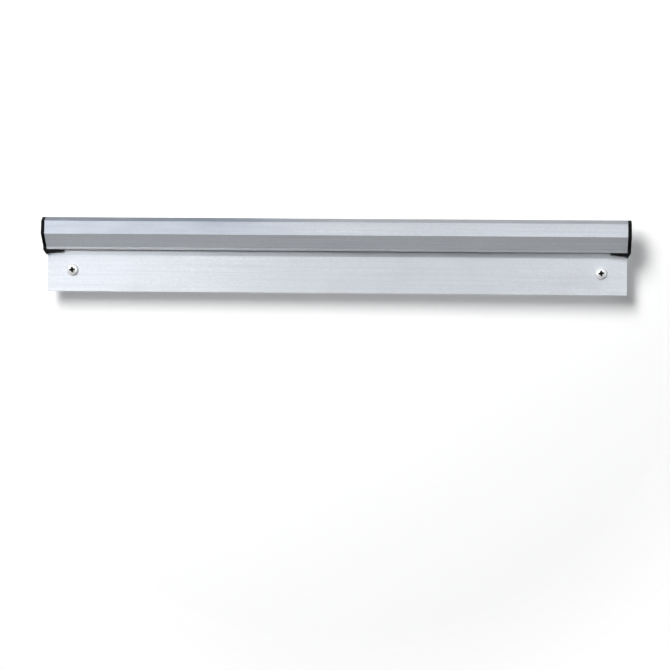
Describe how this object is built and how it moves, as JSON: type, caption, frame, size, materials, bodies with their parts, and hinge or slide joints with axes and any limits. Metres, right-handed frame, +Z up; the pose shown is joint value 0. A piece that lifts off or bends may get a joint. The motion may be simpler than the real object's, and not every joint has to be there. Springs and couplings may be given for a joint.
{
  "type": "order ticket rail",
  "caption": "Wall rail for order tickets: an aluminium back plate under a faceted hood, glass balls that grip paper in the slot, black end caps and wall screws.",
  "frame": {"origin": "on the wall plane, which is the back face of the plate, midway between the two screws", "axes": "+X along the rail to the right as seen from the front, +Y into the wall, +Z up; the front faces -Y"},
  "size_m": [0.463, 0.05, 0.0584],
  "materials": {
    "satin_aluminium": "satin, extruded, with fine lengthwise die lines",
    "black_plastic": "moulded",
    "zinc_plated_steel": "bright zinc",
    "clear_glass": "polished"
  },
  "bodies": {
    "rail": {"rail_extrusion": "satin_aluminium", "end_cap_left": "black_plastic", "end_cap_right": "black_plastic", "wall_screws": "zinc_plated_steel"},
    "ball_01": {"ball_01": "clear_glass"},
    "ball_02": {"ball_02": "clear_glass"},
    "ball_03": {"ball_03": "clear_glass"},
    "ball_04": {"ball_04": "clear_glass"},
    "ball_05": {"ball_05": "clear_glass"},
    "ball_06": {"ball_06": "clear_glass"},
    "ball_07": {"ball_07": "clear_glass"},
    "ball_08": {"ball_08": "clear_glass"},
    "ball_09": {"ball_09": "clear_glass"},
    "ball_10": {"ball_10": "clear_glass"},
    "ball_11": {"ball_11": "clear_glass"},
    "ball_12": {"ball_12": "clear_glass"},
    "ball_13": {"ball_13": "clear_glass"},
    "ball_14": {"ball_14": "clear_glass"},
    "ball_15": {"ball_15": "clear_glass"},
    "ball_16": {"ball_16": "clear_glass"},
    "ball_17": {"ball_17": "clear_glass"},
    "ball_18": {"ball_18": "clear_glass"},
    "ball_19": {"ball_19": "clear_glass"},
    "ball_20": {"ball_20": "clear_glass"},
    "ball_21": {"ball_21": "clear_glass"},
    "ball_22": {"ball_22": "clear_glass"},
    "ball_23": {"ball_23": "clear_glass"},
    "ball_24": {"ball_24": "clear_glass"},
    "ball_25": {"ball_25": "clear_glass"},
    "ball_26": {"ball_26": "clear_glass"},
    "ball_27": {"ball_27": "clear_glass"},
    "ball_28": {"ball_28": "clear_glass"},
    "ball_29": {"ball_29": "clear_glass"},
    "ball_30": {"ball_30": "clear_glass"}
  },
  "joints": [
    {"name": "ball_01_lift", "type": "slide", "parent": "rail", "child": "ball_01", "axis": [0, -0.7436, 0.6686], "range_m": [0, 0.00138]},
    {"name": "ball_02_lift", "type": "slide", "parent": "rail", "child": "ball_02", "axis": [0, -0.7436, 0.6686], "range_m": [0, 0.00138]},
    {"name": "ball_03_lift", "type": "slide", "parent": "rail", "child": "ball_03", "axis": [0, -0.7436, 0.6686], "range_m": [0, 0.00138]},
    {"name": "ball_04_lift", "type": "slide", "parent": "rail", "child": "ball_04", "axis": [0, -0.7436, 0.6686], "range_m": [0, 0.00138]},
    {"name": "ball_05_lift", "type": "slide", "parent": "rail", "child": "ball_05", "axis": [0, -0.7436, 0.6686], "range_m": [0, 0.00138]},
    {"name": "ball_06_lift", "type": "slide", "parent": "rail", "child": "ball_06", "axis": [0, -0.7436, 0.6686], "range_m": [0, 0.00138]},
    {"name": "ball_07_lift", "type": "slide", "parent": "rail", "child": "ball_07", "axis": [0, -0.7436, 0.6686], "range_m": [0, 0.00138]},
    {"name": "ball_08_lift", "type": "slide", "parent": "rail", "child": "ball_08", "axis": [0, -0.7436, 0.6686], "range_m": [0, 0.00138]},
    {"name": "ball_09_lift", "type": "slide", "parent": "rail", "child": "ball_09", "axis": [0, -0.7436, 0.6686], "range_m": [0, 0.00138]},
    {"name": "ball_10_lift", "type": "slide", "parent": "rail", "child": "ball_10", "axis": [0, -0.7436, 0.6686], "range_m": [0, 0.00138]},
    {"name": "ball_11_lift", "type": "slide", "parent": "rail", "child": "ball_11", "axis": [0, -0.7436, 0.6686], "range_m": [0, 0.00138]},
    {"name": "ball_12_lift", "type": "slide", "parent": "rail", "child": "ball_12", "axis": [0, -0.7436, 0.6686], "range_m": [0, 0.00138]},
    {"name": "ball_13_lift", "type": "slide", "parent": "rail", "child": "ball_13", "axis": [0, -0.7436, 0.6686], "range_m": [0, 0.00138]},
    {"name": "ball_14_lift", "type": "slide", "parent": "rail", "child": "ball_14", "axis": [0, -0.7436, 0.6686], "range_m": [0, 0.00138]},
    {"name": "ball_15_lift", "type": "slide", "parent": "rail", "child": "ball_15", "axis": [0, -0.7436, 0.6686], "range_m": [0, 0.00138]},
    {"name": "ball_16_lift", "type": "slide", "parent": "rail", "child": "ball_16", "axis": [0, -0.7436, 0.6686], "range_m": [0, 0.00138]},
    {"name": "ball_17_lift", "type": "slide", "parent": "rail", "child": "ball_17", "axis": [0, -0.7436, 0.6686], "range_m": [0, 0.00138]},
    {"name": "ball_18_lift", "type": "slide", "parent": "rail", "child": "ball_18", "axis": [0, -0.7436, 0.6686], "range_m": [0, 0.00138]},
    {"name": "ball_19_lift", "type": "slide", "parent": "rail", "child": "ball_19", "axis": [0, -0.7436, 0.6686], "range_m": [0, 0.00138]},
    {"name": "ball_20_lift", "type": "slide", "parent": "rail", "child": "ball_20", "axis": [0, -0.7436, 0.6686], "range_m": [0, 0.00138]},
    {"name": "ball_21_lift", "type": "slide", "parent": "rail", "child": "ball_21", "axis": [0, -0.7436, 0.6686], "range_m": [0, 0.00138]},
    {"name": "ball_22_lift", "type": "slide", "parent": "rail", "child": "ball_22", "axis": [0, -0.7436, 0.6686], "range_m": [0, 0.00138]},
    {"name": "ball_23_lift", "type": "slide", "parent": "rail", "child": "ball_23", "axis": [0, -0.7436, 0.6686], "range_m": [0, 0.00138]},
    {"name": "ball_24_lift", "type": "slide", "parent": "rail", "child": "ball_24", "axis": [0, -0.7436, 0.6686], "range_m": [0, 0.00138]},
    {"name": "ball_25_lift", "type": "slide", "parent": "rail", "child": "ball_25", "axis": [0, -0.7436, 0.6686], "range_m": [0, 0.00138]},
    {"name": "ball_26_lift", "type": "slide", "parent": "rail", "child": "ball_26", "axis": [0, -0.7436, 0.6686], "range_m": [0, 0.00138]},
    {"name": "ball_27_lift", "type": "slide", "parent": "rail", "child": "ball_27", "axis": [0, -0.7436, 0.6686], "range_m": [0, 0.00138]},
    {"name": "ball_28_lift", "type": "slide", "parent": "rail", "child": "ball_28", "axis": [0, -0.7436, 0.6686], "range_m": [0, 0.00138]},
    {"name": "ball_29_lift", "type": "slide", "parent": "rail", "child": "ball_29", "axis": [0, -0.7436, 0.6686], "range_m": [0, 0.00138]},
    {"name": "ball_30_lift", "type": "slide", "parent": "rail", "child": "ball_30", "axis": [0, -0.7436, 0.6686], "range_m": [0, 0.00138]}
  ]
}
